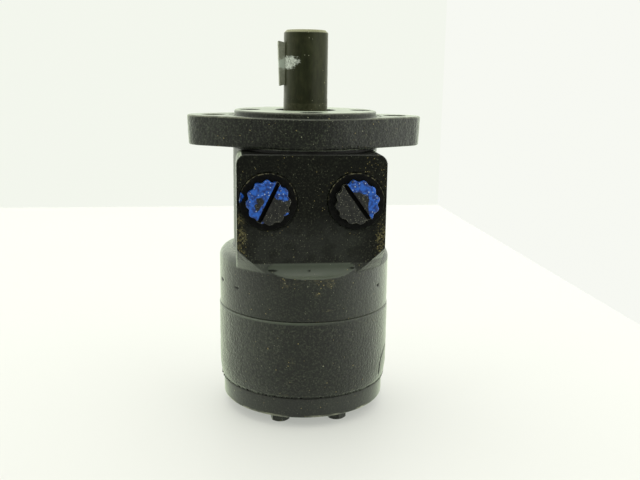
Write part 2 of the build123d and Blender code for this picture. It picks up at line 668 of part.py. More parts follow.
def end_cap_screws():
    """Seven flanged hex head screws through the end cap, ring and spacer plate into the housing."""
    hexagon = extrude(RegularPolygon(BODY_BOLT_FLATS / 2, 6, major_radius=False), amount=BODY_BOLT_HEX_H)
    corner_r = BODY_BOLT_FLATS / math.sqrt(3)
    rounder = Cylinder(corner_r, BODY_BOLT_HEX_H, align=BASE)
    rounder = chamfer(circular_edges(rounder, 0.0, corner_r), 0.7, 1.3)
    cone = Cone(corner_r, BODY_BOLT_FLANGE_R, BODY_BOLT_CONE_T, align=BASE)
    cone_z = BODY_BOLT_HEX_H
    flange = Cylinder(BODY_BOLT_FLANGE_R, BODY_BOLT_FLANGE_T, align=BASE)
    flange_z = cone_z + BODY_BOLT_CONE_T
    shank_length = BODY_BOLT_TOP_Z - END_CAP_BOTTOM_Z
    shank = Cylinder(BODY_BOLT_R, shank_length, align=BASE)
    shank = chamfer(circular_edges(shank, shank_length, BODY_BOLT_R), 0.8)
    height = flange_z + BODY_BOLT_FLANGE_T
    screw = (hexagon & rounder) + Pos(0, 0, cone_z) * cone + Pos(0, 0, flange_z) * flange
    screw += Pos(0, 0, height) * shank
    screws = []
    for index, angle in enumerate(around(ROLLERS, FIRST_BOLT_ANGLE)):
        x, y = polar(BODY_BOLT_CIRCLE_R, angle)
        screws.append(Pos(x, y, END_CAP_BOTTOM_Z - height) * Rot(0, 0, angle + 11.0 * index) * screw)
    return Compound(children=screws)


# ---------------------------------------------------------------- port plugs


def plug_frame(side):
    """The port's own frame: outward along -Y, with X to the right and Y up."""
    origin = (side * PORT_X, PORT_FACE_Y + SPOT_FACE_DEPTH, PORT_Z)
    return Plane(origin=origin, x_dir=(1, 0, 0), z_dir=(0, -1, 0))


def plug_shank():
    """The threaded shank, with its thread drawn as plain rings."""
    profile = [(0.0, 0.0), (PLUG_NECK_R, 0.0), (PLUG_NECK_R, PLUG_THREAD_TOP)]
    for turn in range(PLUG_THREAD_TURNS):
        top = PLUG_THREAD_TOP - turn * PLUG_THREAD_PITCH
        profile.append((PLUG_ROOT_R, top - 0.1))
        profile.append((PLUG_SHANK_R, top - 0.5))
        profile.append((PLUG_SHANK_R, top - 0.9))
        profile.append((PLUG_ROOT_R, top - 1.4))
    profile.append((PLUG_ROOT_R - 0.8, -PLUG_SHANK_LENGTH))
    profile.append((0.0, -PLUG_SHANK_LENGTH))
    return revolve(Plane.XZ * Polygon(*profile, align=None), Axis.Z)


def plug_grip(phase):
    """The wavy finger grip on the plug's outer face."""
    steps = 8
    points = []
    for step in range(steps + 1):
        angle = 360.0 * step / (steps * PLUG_GRIP_LOBES)
        wave = PLUG_GRIP_WAVE * math.cos(math.radians(PLUG_GRIP_LOBES * angle))
        points.append(polar(PLUG_GRIP_R + wave, angle))
    grip = extrude(lobed_face(points, PLUG_GRIP_LOBES), amount=PLUG_GRIP_H)
    crown_r = PLUG_GRIP_R + PLUG_GRIP_WAVE + 0.01
    crown = Cylinder(crown_r, PLUG_GRIP_H, align=BASE)
    crown = fillet(circular_edges(crown, PLUG_GRIP_H, crown_r), PLUG_GRIP_EDGE_R)
    return Rot(0, 0, phase) * (grip & crown)


def port_plug(side, slot_angle, phase):
    rim = Cylinder(PLUG_RIM_R, PLUG_RIM_T, align=BASE)
    rim = fillet(circular_edges(rim, PLUG_RIM_T, PLUG_RIM_R), 0.5)
    plug = plug_shank() + rim + Pos(0, 0, PLUG_RIM_T) * plug_grip(phase)
    slot_z = PLUG_RIM_T + PLUG_GRIP_H - PLUG_SLOT_DEPTH
    slot = Box(4 * PLUG_GRIP_R, PLUG_SLOT_W, REACH, align=BASE)
    plug -= Pos(0, 0, slot_z) * Rot(0, 0, slot_angle) * slot
    return plug_frame(side) * Pos(0, 0, 0.03) * plug


def plug_seal(side):
    return plug_frame(side) * Pos(0, 0, PLUG_SEAL_Z) * Torus(PLUG_SEAL_R, PLUG_SEAL_CORD_R)


def build_parts():
    upper_race_top = THRUST_POCKET_TOP_Z
    lower_race_top = SPOOL_TOP_Z + THRUST_RACE_T
    body_seal_h = SEAL_GROOVE_DEPTH
    parts = {
        "mounting_flange": mounting_flange(),
        "flange_cap_screws": flange_cap_screws(),
        "dust_seal": dust_seal(),
        "backup_washer": backup_washer(),
        "shaft_seal": shaft_seal(),
        "flange_seal_ring": seal_ring(FLANGE_SEAL_R, -FLANGE_T - SEAL_GROOVE_DEPTH, SEAL_GROOVE_DEPTH),
        "thrust_race_upper": thrust_race(upper_race_top),
        "thrust_needles": thrust_needles(),
        "thrust_cage": thrust_cage(),
        "thrust_race_lower": thrust_race(lower_race_top),
        "output_shaft": output_shaft(),
        "woodruff_key": woodruff_key(),
        "housing": housing(),
        "check_ball_right": check_ball(0),
        "check_ball_left": check_ball(1),
        "check_valve_plugs": check_valve_plugs(),
        "body_seal_upper": seal_ring(BODY_SEAL_R, BODY_BOTTOM_Z, body_seal_h),
        "spacer_plate": spacer_plate(),
        "body_seal_middle": seal_ring(BODY_SEAL_R, SPACER_BOTTOM_Z, body_seal_h),
        "geroler_ring": geroler_ring(),
        "geroler_star": geroler_star(),
        "cardan_drive": cardan_drive(),
        "drive_spacer": drive_spacer(),
        "body_seal_lower": seal_ring(BODY_SEAL_R, RING_BOTTOM_Z - body_seal_h, body_seal_h),
        "end_cap": end_cap(),
        "end_cap_screws": end_cap_screws(),
        "port_plug_left": port_plug(-1, LEFT_SLOT_ANGLE, LEFT_GRIP_PHASE),
        "plug_seal_left": plug_seal(-1),
        "port_plug_right": port_plug(1, RIGHT_SLOT_ANGLE, RIGHT_GRIP_PHASE),
        "plug_seal_right": plug_seal(1),
    }
    for index in range(ROLLERS):
        parts[f"geroler_roller_{index + 1}"] = geroler_roller(index)
    return parts


os.makedirs("parts", exist_ok=True)
for node, shape in build_parts().items():
    export_step(shape, f"parts/{node}.step")
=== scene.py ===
"""Hydraulic motor: finishes, cast skins, studio and camera, built round the CAD frame.

Lengths are in metres, except in the zone functions and their constants, which are in millimetres.
"""

import json
import math

import bmesh
import bpy
import numpy as np
from mathutils import Matrix, Vector, noise
from mathutils.bvhtree import BVHTree

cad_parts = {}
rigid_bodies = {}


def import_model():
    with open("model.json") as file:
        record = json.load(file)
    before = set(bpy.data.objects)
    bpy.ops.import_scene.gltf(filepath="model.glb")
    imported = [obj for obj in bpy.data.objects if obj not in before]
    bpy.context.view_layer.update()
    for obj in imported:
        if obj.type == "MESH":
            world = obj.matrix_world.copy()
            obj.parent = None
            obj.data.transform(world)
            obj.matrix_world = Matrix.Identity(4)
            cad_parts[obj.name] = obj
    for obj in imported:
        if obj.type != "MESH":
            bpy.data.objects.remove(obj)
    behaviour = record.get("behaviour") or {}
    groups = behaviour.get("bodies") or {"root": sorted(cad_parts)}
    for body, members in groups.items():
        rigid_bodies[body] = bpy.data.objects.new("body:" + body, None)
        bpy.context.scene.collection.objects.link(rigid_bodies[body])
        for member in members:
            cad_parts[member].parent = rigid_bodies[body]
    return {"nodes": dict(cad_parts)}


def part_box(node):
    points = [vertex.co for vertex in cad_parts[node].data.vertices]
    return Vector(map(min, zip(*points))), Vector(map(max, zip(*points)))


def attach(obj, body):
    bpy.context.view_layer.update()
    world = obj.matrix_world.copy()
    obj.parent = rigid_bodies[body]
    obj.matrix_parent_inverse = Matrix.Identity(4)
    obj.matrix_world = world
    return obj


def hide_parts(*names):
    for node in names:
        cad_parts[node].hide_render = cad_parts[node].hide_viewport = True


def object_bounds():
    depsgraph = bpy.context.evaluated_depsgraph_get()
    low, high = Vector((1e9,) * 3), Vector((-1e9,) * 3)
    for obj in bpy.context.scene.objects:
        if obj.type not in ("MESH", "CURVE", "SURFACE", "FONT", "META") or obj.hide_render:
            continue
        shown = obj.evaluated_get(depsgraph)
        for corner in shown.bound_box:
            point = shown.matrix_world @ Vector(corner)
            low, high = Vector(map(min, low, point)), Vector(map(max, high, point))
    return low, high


MM = 0.001

for leftover in list(bpy.data.objects):
    bpy.data.objects.remove(leftover)
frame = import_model()
cad_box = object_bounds()


# ---------------------------------------------------------------- node materials

class Finish:
    """One material's node tree, with short calls for the nodes used here."""

    def __init__(self, name, preview):
        self.material = bpy.data.materials.new(name)
        self.material.use_nodes = True
        self.material.diffuse_color = (*preview, 1.0)
        self.tree = self.material.node_tree
        self.tree.nodes.clear()
        self.point = self.add("ShaderNodeTexCoord").outputs["Object"]
        self.normal = self.add("ShaderNodeNewGeometry").outputs["Normal"]

    def add(self, kind, settings=None, **inputs):
        """A node; settings are its own attributes, inputs are values or sockets by input name."""
        node = self.tree.nodes.new(kind)
        for key, value in (settings or {}).items():
            setattr(node, key, value)
        for key, value in inputs.items():
            self.feed(node.inputs[key.replace("_", " ")], value)
        return node

    def feed(self, socket, value):
        """Links a socket to an input, or sets the input to a plain value."""
        if isinstance(value, bpy.types.NodeSocket):
            self.tree.links.new(value, socket)
        elif socket.type == "RGBA":
            socket.default_value = (*value, 1.0)
        else:
            socket.default_value = value

    def maths(self, operation, *values):
        """The result of a maths node."""
        node = self.add("ShaderNodeMath", {"operation": operation})
        for socket, value in zip(node.inputs, values):
            self.feed(socket, value)
        return node.outputs[0]

    def times(self, value, *others):
        """The product of two or more values."""
        for other in others:
            value = self.maths("MULTIPLY", value, other)
        return value

    def vector(self, operation, *values, output=0):
        """A result of a vector maths node: output 0 is a vector, output 1 a number."""
        node = self.add("ShaderNodeVectorMath", {"operation": operation})
        for socket, value in zip(node.inputs, values):
            self.feed(socket, value)
        return node.outputs[output]

    def axes(self, vector):
        """The x, y and z of a vector."""
        split = self.add("ShaderNodeSeparateXYZ", Vector=vector)
        return split.outputs[0], split.outputs[1], split.outputs[2]

    def length(self, x=0.0, y=0.0, z=0.0):
        """The length of the vector with these components."""
        joined = self.add("ShaderNodeCombineXYZ", X=x, Y=y, Z=z).outputs[0]
        return self.vector("LENGTH", joined, output=1)

    def noise(self, size, detail=3.0, seed=0.0, stretch=(1.0, 1.0, 1.0)):
        """Noise from 0 to 1 whose features are about this size across."""
        scale = tuple(value / size for value in stretch)
        place = self.vector("MULTIPLY_ADD", self.point, scale, (seed, seed * 1.7, seed * 2.3))
        settings = {"Scale": 1.0, "Detail": detail, "Roughness": 0.55}
        return self.add("ShaderNodeTexNoise", Vector=place, **settings).outputs[0]

    def ramp(self, value, low, high):
        """0 below low, 1 above high and smooth between; low may be the larger."""
        node = self.add("ShaderNodeMapRange", {"interpolation_type": "SMOOTHSTEP"}, Value=value)
        self.feed(node.inputs["From Min"], low)
        self.feed(node.inputs["From Max"], high)
        return node.outputs[0]

    def mix(self, share, a, b):
        """Colour a, turning into colour b as share goes from 0 to 1."""
        node = self.add("ShaderNodeMix", {"data_type": "RGBA"})
        self.feed(node.inputs[0], share)
        self.feed(node.inputs[6], a)
        self.feed(node.inputs[7], b)
        return node.outputs[2]

    def blend(self, share, a, b):
        """Value a, turning into value b as share goes from 0 to 1."""
        node = self.add("ShaderNodeMix", {"data_type": "FLOAT"})
        self.feed(node.inputs[0], share)
        self.feed(node.inputs[2], a)
        self.feed(node.inputs[3], b)
        return node.outputs[0]

    def specks(self, cell, radius, share, seed=0.0, where=1.0):
        """Scattered round specks: one in some of the cells, each up to the given radius."""
        reach = radius / cell
        warp = self.noise(cell * 0.25, 1.0, seed + 3.1)
        offset = (seed, seed * 1.3, seed * 0.7)
        place = self.vector("MULTIPLY_ADD", self.point, (1.0 / cell,) * 3, offset)
        cells = self.add("ShaderNodeTexVoronoi", Vector=place, Scale=1.0)
        chance, size, _ = self.axes(cells.outputs["Color"])
        edge = self.maths("ADD", cells.outputs["Distance"], self.times(warp, 0.6 * reach))
        limit = self.maths("ADD", self.times(size, reach), 0.3 * reach)
        chosen = self.maths("LESS_THAN", chance, self.times(share, where))
        return self.times(self.maths("LESS_THAN", edge, limit), chosen)

    def edges(self, radius, low=0.02, high=0.25):
        """1 on sharp convex or concave edges, within about this radius."""
        soft = self.add("ShaderNodeBevel", {"samples": 4}, Radius=radius).outputs[0]
        same = self.vector("DOT_PRODUCT", soft, self.normal, output=1)
        return self.ramp(self.maths("SUBTRACT", 1.0, same), low, high)

    def bump(self, height, depth, under=None):
        """A normal from a height of 0 to 1 that stands this many metres deep."""
        node = self.add("ShaderNodeBump", Height=height, Distance=depth, Strength=1.0)
        if under is not None:
            self.feed(node.inputs["Normal"], under)
        return node.outputs[0]

    def close(self, color, roughness, normal=None, metallic=0.0, specular=0.5, **extra):
        """Ends the tree in a surface shader and gives back the material."""
        shader = self.add("ShaderNodeBsdfPrincipled", **extra)
        self.feed(shader.inputs["Base Color"], color)
        self.feed(shader.inputs["Roughness"], roughness)
        self.feed(shader.inputs["Metallic"], metallic)
        self.feed(shader.inputs["Specular IOR Level"], specular)
        if normal is not None:
            self.feed(shader.inputs["Normal"], normal)
        output = self.add("ShaderNodeOutputMaterial")
        self.tree.links.new(shader.outputs[0], output.inputs[0])
        return self.material


# What each point of a cast skin carries for its paint, from 0 to 1: pale is painted highlight,
# black darkens to dull black paint and painted shade, and the dark and edge values also paint shade
# and highlight besides seams, pits and worn edges.
SKIN_KEYS = ("cast", "ochre", "pale", "stain_and_shade", "black", "wear_and_highlight")

PAINT_PREVIEW = (0.016, 0.020, 0.013)
PAINT_DEEP = (0.0040, 0.0054, 0.0030)
PAINT_OLIVE = (0.0105, 0.0142, 0.0080)
PAINT_DULL_AND_SHADE = (0.0030, 0.0034, 0.0022)
PAINT_BLUSH = (0.052, 0.062, 0.038)
HOLLOW_SHADE = (0.002, 0.0025, 0.0015)
PAINTED_HIGHLIGHT = (0.060, 0.074, 0.052)
DARK_STAIN_AND_SHADE = (0.003, 0.003, 0.0025)
SETTLED_DUST = (0.085, 0.088, 0.066)
WORN_EDGE_AND_HIGHLIGHT = (0.36, 0.37, 0.26)
GREY_POWDER = (0.075, 0.080, 0.053)
GREY_SPECK = (0.30, 0.31, 0.21)
OCHRE_FILM = (0.150, 0.135, 0.062)
OCHRE_SPECK = (0.26, 0.215, 0.085)
DUST_SHEEN = (0.88, 1.0, 0.77)


def attribute(f, name):
    """A skin's attribute as a value."""
    return f.add("ShaderNodeAttribute", {"attribute_name": name}).outputs["Fac"]


def rim_marks(f, wear_and_highlight, foot_z, top_z, seed):
    """A disc's top rim and foot: a dark top rim, and a painted highlight, a broken pale line round
    its foot.
    """
    z = f.axes(f.point)[2]
    stain_and_shade = f.ramp(z, top_z - 0.5 * MM, top_z - 0.3 * MM)
    # Painted highlight: a broken pale line round the foot of the disc.
    foot = f.times(
        f.ramp(z, foot_z, foot_z + 0.2 * MM),
        f.ramp(z, foot_z + 1.6 * MM, foot_z + 1.3 * MM),
        f.ramp(f.noise(17 * MM, 2.0, seed + 31.0), 0.46, 0.62),
    )
    below_top = f.times(wear_and_highlight, f.ramp(z, top_z - 3 * MM, top_z - 6 * MM))
    return stain_and_shade, f.maths("MAXIMUM", below_top, foot)


def paint(name, skin=False, cast=0.4, ochre=0.02, seed=0.0, rims=None):
    """Thin black paint: greenish mottling, painted shade in the hollows of its peel, dust on top
    faces, worn edges, pale and ochre specks.

    A skin brings its own attributes, which also paint shade and highlight. A plain piece is even;
    rims is a disc's foot and top.
    """
    f = Finish(name, PAINT_PREVIEW)
    pale, stain_and_shade, black = 0.0, 0.0, 0.0
    if skin:
        cast, ochre, pale, stain_and_shade, black, wear_and_highlight = (attribute(f, key) for key in SKIN_KEYS)
    else:
        wear_and_highlight = f.edges(0.45 * MM)
    if rims:
        stain_and_shade, wear_and_highlight = rim_marks(f, wear_and_highlight, *rims, seed)
    broad = f.noise(34 * MM, 4.0, seed)
    coarse = f.noise(1.5 * MM, 2.0, seed + 6.0)
    color = f.mix(f.ramp(broad, 0.35, 0.68), PAINT_DEEP, PAINT_OLIVE)
    # Dull black paint, and painted shade where a skin asks for it.
    color = f.mix(black, color, PAINT_DULL_AND_SHADE)
    blush = f.ramp(f.noise(1.1 * MM, 3.0, seed + 4.0), 0.48, 0.68)
    color = f.mix(f.times(blush, f.blend(cast, 0.12, 0.6)), color, PAINT_BLUSH)
    # Painted shade in the hollows of the orange peel.
    color = f.mix(f.times(f.ramp(coarse, 0.54, 0.38), cast), color, HOLLOW_SHADE)
    upward = f.ramp(f.axes(f.normal)[2], 0.5, 0.97)
    drift = f.ramp(f.noise(9 * MM, 4.0, seed + 9.0), 0.3, 0.7)
    color = f.mix(f.times(upward, f.blend(drift, 0.25, 0.7)), color, SETTLED_DUST)
    # Painted highlight where a skin asks for it.
    color = f.mix(pale, color, PAINTED_HIGHLIGHT)
    patchy = f.ramp(f.noise(5 * MM, 4.0, seed + 13.0), 0.3, 0.62)
    # Worn edges; on skins and discs this also paints highlights on edges.
    color = f.mix(f.times(wear_and_highlight, f.blend(patchy, 0.3, 1.0), 0.85), color, WORN_EDGE_AND_HIGHLIGHT)
    clouds = f.ramp(f.noise(13 * MM, 3.0, seed + 17.0), 0.35, 0.65)
    powder = f.ramp(f.noise(0.9 * MM, 2.0, seed + 19.0), 0.55, 0.7)
    color = f.mix(f.times(powder, f.blend(clouds, 0.12, 0.5)), color, GREY_POWDER)
    large = f.specks(3.1 * MM, 0.36 * MM, 0.2, seed)
    small = f.specks(1.3 * MM, 0.2 * MM, 0.16, seed + 1.0)
    ash = f.maths("MAXIMUM", large, small)
    color = f.mix(f.times(ash, 0.8), color, GREY_SPECK)
    if skin:
        caked = f.ramp(f.noise(1.3 * MM, 3.0, seed + 27.0), 0.42, 0.62)
        color = f.mix(f.times(f.ramp(ochre, 0.3, 1.2), caked, 0.55), color, OCHRE_FILM)
    gold = f.specks(1.1 * MM, 0.34 * MM, 1.0, seed + 21.0, ochre)
    color = f.mix(f.times(gold, 0.85), color, OCHRE_SPECK)
    # Near black for dark seams and pits, and for painted shade where a skin asks for it.
    color = f.mix(stain_and_shade, color, DARK_STAIN_AND_SHADE)
    rough = f.maths("ADD", f.blend(cast, 0.34, 0.38), f.times(broad, 0.12))
    rough = f.maths("ADD", rough, f.times(f.maths("ADD", ash, gold), 0.3))
    fine = f.noise(0.7 * MM, 2.0, seed + 2.0)
    grain = f.bump(fine, f.blend(cast, 0.015 * MM, 0.08 * MM))
    peel = f.bump(coarse, f.blend(cast, 0.02 * MM, 0.45 * MM), grain)
    dulled = f.maths("MAXIMUM", stain_and_shade, f.times(black, 0.92))
    sheen = {"Sheen_Weight": f.maths("SUBTRACT", 1.0, dulled), "Sheen_Roughness": 0.36}
    gloss = f.blend(dulled, 0.5, 0.08)
    return f.close(color, rough, peel, specular=gloss, Sheen_Tint=DUST_SHEEN, **sheen)


STEEL_PREVIEW = (0.03, 0.032, 0.022)
STEEL_DARK = (0.0070, 0.0085, 0.0036)
STEEL_OLIVE = (0.0190, 0.0225, 0.0095)
STEEL_BROWN = (0.034, 0.034, 0.015)
STEEL_DUSTY = (0.060, 0.063, 0.033)
STEEL_FLECK = (0.17, 0.17, 0.08)
STEEL_CROWN_HIGHLIGHT = (0.20, 0.20, 0.11)
STEEL_WORN = (0.16, 0.165, 0.12)
STEEL_SPECK = (0.26, 0.27, 0.19)
STEEL_SHEEN = (0.85, 0.9, 0.5)
OIL_TINT = (1.0, 1.0, 0.76)
PRIMER_THIN = (0.20, 0.225, 0.195)
PRIMER_THICK = (0.56, 0.60, 0.54)
PRIMER_ON_KEY = (0.44, 0.50, 0.43)
PRIMER_PLACE = (-11.5 * MM, -6.5 * MM, 29.4 * MM)


def shaft_steel(name):
    """Oiled olive-black steel: a dusty foot, a painted highlight on the top chamfer and a smear of
    pale primer.
    """
    f = Finish(name, STEEL_PREVIEW)
    x, _, z = f.axes(f.point)
    streaks = f.noise(2.4 * MM, 3.0, 2.0, (1.0, 1.0, 0.25))
    color = f.mix(f.ramp(streaks, 0.25, 0.75), STEEL_DARK, STEEL_OLIVE)
    rust = f.ramp(f.noise(5 * MM, 4.0, 7.0), 0.45, 0.75)
    color = f.mix(f.times(rust, 0.45), color, STEEL_BROWN)
    foot = f.ramp(z, 7.4 * MM, 6.6 * MM)
    mottled = f.ramp(f.noise(1.6 * MM, 3.0, 17.0), 0.35, 0.65)
    color = f.mix(f.times(foot, f.blend(mottled, 0.15, 0.6)), color, STEEL_DUSTY)
    flank = f.times(f.ramp(x, 7.5 * MM, 11.5 * MM), f.ramp(z, 34 * MM, 16 * MM))
    flecks = f.specks(1.0 * MM, 0.34 * MM, 1.0, 19.0, f.times(flank, 0.3))
    color = f.mix(flecks, color, STEEL_FLECK)
    # Painted highlight on the top chamfer.
    crown_highlight = f.ramp(z, 46.0 * MM, 47.0 * MM)
    color = f.mix(f.times(crown_highlight, 0.8), color, STEEL_CROWN_HIGHLIGHT)
    rubbed = f.ramp(f.noise(4 * MM, 3.0, 4.0), 0.35, 0.6)
    above_foot = f.ramp(z, 10.5 * MM, 12.5 * MM)
    color = f.mix(f.times(f.edges(0.5 * MM), rubbed, above_foot, 0.7), color, STEEL_WORN)
    color = f.mix(f.specks(2.2 * MM, 0.3 * MM, 0.25, 15.0), color, STEEL_SPECK)
    smear = primer_smear(f)
    bristles = f.ramp(f.noise(0.9 * MM, 3.0, 23.0), 0.35, 0.6)
    color = f.mix(smear, color, f.mix(bristles, PRIMER_THIN, PRIMER_THICK))
    rough = f.maths("ADD", f.blend(rust, 0.34, 0.5), f.times(smear, 0.25))
    turned = f.bump(f.noise(0.5 * MM, 2.0, 1.0, (0.05, 0.05, 1.0)), 0.010 * MM)
    pitted = f.bump(f.noise(0.9 * MM, 3.0, 5.0), 0.03 * MM, turned)
    shine = f.blend(f.ramp(x, 5.0 * MM, 11.0 * MM), 0.2, 0.05)
    sheen = {"Specular_Tint": OIL_TINT, "Sheen_Weight": 0.1, "Sheen_Tint": STEEL_SHEEN}
    return f.close(color, rough, pitted, metallic=0.03, specular=shine, **sheen)


def primer_smear(f):
    """A ragged brush of pale primer that starts on the key and thins out round the shaft."""
    x, y, z = f.axes(f.vector("SUBTRACT", f.point, PRIMER_PLACE))
    slanted = f.maths("SUBTRACT", z, f.times(x, 0.12))
    away = f.length(x, f.times(y, 0.8), f.times(slanted, 2.1))
    brush = f.noise(1.3 * MM, 4.0, 11.0, (0.6, 0.6, 1.5))
    ragged = f.maths("ADD", away, f.times(f.maths("SUBTRACT", brush, 0.5), 11.0 * MM))
    return f.ramp(ragged, 8.6 * MM, 5.8 * MM)


RUST = (0.16, 0.115, 0.06)


def bare_steel(name, light, dark, rough, seed, rust=0.25, smeared=False):
    """Ground or drawn steel with fine grain, cloudy stains and bright worn edges."""
    f = Finish(name, light)
    cloud = f.ramp(f.noise(6 * MM, 4.0, seed + 3.0), 0.35, 0.7)
    color = f.mix(f.noise(0.8 * MM, 3.0, seed), dark, light)
    color = f.mix(f.times(cloud, rust), color, RUST)
    bright = tuple(min(1.0, 1.5 * value) for value in light)
    color = f.mix(f.times(f.edges(0.3 * MM), 0.6), color, bright)
    metal = 0.8
    if smeared:
        smear = primer_smear(f)
        color = f.mix(f.times(smear, 0.75), color, PRIMER_ON_KEY)
        metal = f.blend(smear, 0.8, 0.1)
    roughness = f.maths("ADD", rough, f.times(cloud, 0.15))
    normal = f.bump(f.noise(0.4 * MM, 2.0, seed + 8.0), 0.012 * MM)
    return f.close(color, roughness, normal, metallic=metal)


RUBBER_PREVIEW = (0.012, 0.012, 0.012)
RUBBER_BLACK = (0.010, 0.010, 0.010)
RUBBER_BLOOM = (0.028, 0.028, 0.026)
RUBBER_CRUMB = (0.15, 0.145, 0.12)


def rubber(name):
    """Black nitrile with a matt bloom and a few crumbs of dust."""
    f = Finish(name, RUBBER_PREVIEW)
    bloom = f.ramp(f.noise(5 * MM, 4.0, 1.0), 0.35, 0.7)
    color = f.mix(bloom, RUBBER_BLACK, RUBBER_BLOOM)
    color = f.mix(f.specks(2.2 * MM, 0.3 * MM, 0.15, 3.0), color, RUBBER_CRUMB)
    normal = f.bump(f.noise(0.5 * MM, 3.0, 2.0), 0.02 * MM)
    return f.close(color, f.blend(bloom, 0.55, 0.75), normal, specular=0.35)


PLUG_BLUE = (0.014, 0.102, 0.47)
PLUG_BLUE_DEEP = (0.004, 0.022, 0.13)
PLUG_SCUFF = (0.30, 0.38, 0.52)
OVERSPRAY_DEEP = (0.003, 0.0035, 0.003)
OVERSPRAY_GREY = (0.018, 0.019, 0.015)
OVERSPRAY_SPECK = (0.17, 0.17, 0.125)
RIM_SHADE = (0.003, 0.003, 0.003)
SLOT_SHADE = (0.0015, 0.0015, 0.0015)
GRIP_WORN = (0.36, 0.36, 0.26)
RIM_HIGHLIGHT = (0.16, 0.15, 0.09)
GRIP_LENGTH = 4.95 * MM

# Each plug's slot angle in degrees, and its spots in mm: how far across the slot (positive to its
# right, looking in), how far up along it, and the spot's size. Bare and rim spots are blue.
PLUG_SPOTS = {
    "port_plug_left": {
        "slot": 64.0,
        "bare": [
            (-7.0, 1.0, 7.5), (-5.0, 8.0, 5.5), (-5.0, -8.0, 5.0), (5.0, 9.0, 4.4),
            (2.0, 6.0, 1.6), (12.0, -1.0, 1.1), (1.8, -11.4, 1.2),
        ],
        "rim": [(-14.6, -3.4, 1.3), (-14.4, -5.4, 1.1)],
        "painted": [(-4.3, -1.0, 2.0), (-4.6, -4.0, 1.8), (-12.6, 6.0, 1.8)],
    },
    "port_plug_right": {
        "slot": -54.0,
        "bare": [
            (-9.0, 0.0, 4.6), (-7.0, -7.0, 4.4), (-7.5, 6.5, 4.4), (-2.5, -9.0, 2.4),
            (-3.5, 9.5, 2.6),
        ],
        "rim": [],
        "painted": [(-3.0, 0.5, 3.2)],
    },
}


def plug_plastic(name, node):
    """Blue plastic under uneven black overspray, with painted shade in the slot and on the rim, a
    worn grip and a painted highlight on the rim's upper edge.
    """
    f = Finish(name, PLUG_BLUE)
    low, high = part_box(node)
    centre = (low + high) / 2
    x, y, z = f.axes(f.vector("SUBTRACT", f.point, (centre.x, centre.y, centre.z)))
    spots = PLUG_SPOTS[node]
    cos, sin = math.cos(math.radians(spots["slot"])), math.sin(math.radians(spots["slot"]))
    along = f.maths("ADD", f.times(x, cos), f.times(z, sin))
    across = f.maths("SUBTRACT", f.times(x, sin), f.times(z, cos))
    torn = f.maths("SUBTRACT", f.noise(2.6 * MM, 4.0, spots["slot"]), 0.5)
    ragged = f.times(torn, 4.5 * MM)

    def spot(place):
        u, v, size = (value * MM for value in place)
        du, dv = f.maths("SUBTRACT", across, u), f.maths("SUBTRACT", along, v)
        away = f.maths("ADD", f.length(du, dv), ragged)
        return f.ramp(away, size + 0.35 * MM, size - 0.35 * MM)

    radius = f.length(x, z)
    grip_foot = low.y - centre.y + GRIP_LENGTH
    grip = f.ramp(y, grip_foot, grip_foot - 0.15 * MM)
    bare = 0.0
    for place in spots["bare"]:
        bare = f.maths("MAXIMUM", bare, spot(place))
    bare = f.times(bare, grip)
    for place in spots["rim"]:
        bare = f.maths("MAXIMUM", bare, spot(place))
    for place in spots["painted"]:
        bare = f.times(bare, f.maths("SUBTRACT", 1.0, spot(place)))
    blue = f.mix(f.ramp(f.noise(1.9 * MM, 4.0, 5.0), 0.36, 0.62), PLUG_BLUE_DEEP, PLUG_BLUE)
    blue = f.mix(f.specks(1.1 * MM, 0.36 * MM, 0.4, 8.0), blue, PLUG_SCUFF)
    uneven = f.ramp(f.noise(1.8 * MM, 4.0, 2.0), 0.4, 0.7)
    black = f.mix(uneven, OVERSPRAY_DEEP, OVERSPRAY_GREY)
    black = f.mix(f.specks(0.9 * MM, 0.26 * MM, 0.55, 4.0), black, OVERSPRAY_SPECK)
    # Painted shade on the rim round the grip.
    black = f.mix(f.times(f.maths("SUBTRACT", 1.0, grip), 0.75), black, RIM_SHADE)
    color = f.mix(bare, black, blue)
    # Painted shade in the slot.
    slot = f.ramp(f.maths("ABSOLUTE", across), 1.3 * MM, 1.1 * MM)
    slot = f.times(slot, f.ramp(radius, 12.4 * MM, 12.0 * MM))
    color = f.mix(slot, color, SLOT_SHADE)
    worn = f.times(f.edges(0.35 * MM), f.ramp(f.noise(2.5 * MM, 3.0, 6.0), 0.3, 0.55))
    waves = f.times(grip, f.ramp(radius, 10.2 * MM, 10.8 * MM))
    color = f.mix(f.times(worn, waves, 0.75), color, GRIP_WORN)
    # Painted highlight along the upper outer edge of the rim.
    rim = f.times(f.ramp(radius, 14.9 * MM, 15.1 * MM), f.ramp(z, -3 * MM, 5 * MM))
    broken = f.ramp(f.noise(2.2 * MM, 3.0, 9.0), 0.45, 0.62)
    color = f.mix(f.times(rim, broken, 0.6), color, RIM_HIGHLIGHT)
    normal = f.bump(f.noise(0.8 * MM, 3.0, 7.0), 0.05 * MM)
    shiny = f.times(grip, f.maths("SUBTRACT", 1.0, slot))
    return f.close(color, f.blend(bare, 0.5, 0.42), normal, specular=f.blend(shiny, 0.06, 0.35))


# ---------------------------------------------------------------- cast skins

def fractal(point, size, octaves=3):
    """Smooth noise from 0 to 1 at a point, with features about this size across."""
    return 0.5 + 0.5 * max(-1.0, min(1.0, noise.fractal(point / size, 1.0, 2.0, octaves)))


def within(value, low, high, soft):
    """1 between low and high, fading to 0 over the soft distance beyond them."""
    reach = min(value - low, high - value)
    return max(0.0, min(1.0, 1.0 + reach / soft))


def joined_mesh(meshes):
    """One mesh holding copies of all these."""
    joined = bmesh.new()
    for mesh in meshes:
        joined.from_mesh(mesh)
    result = bpy.data.meshes.new("joined")
    joined.to_mesh(result)
    joined.free()
    return result


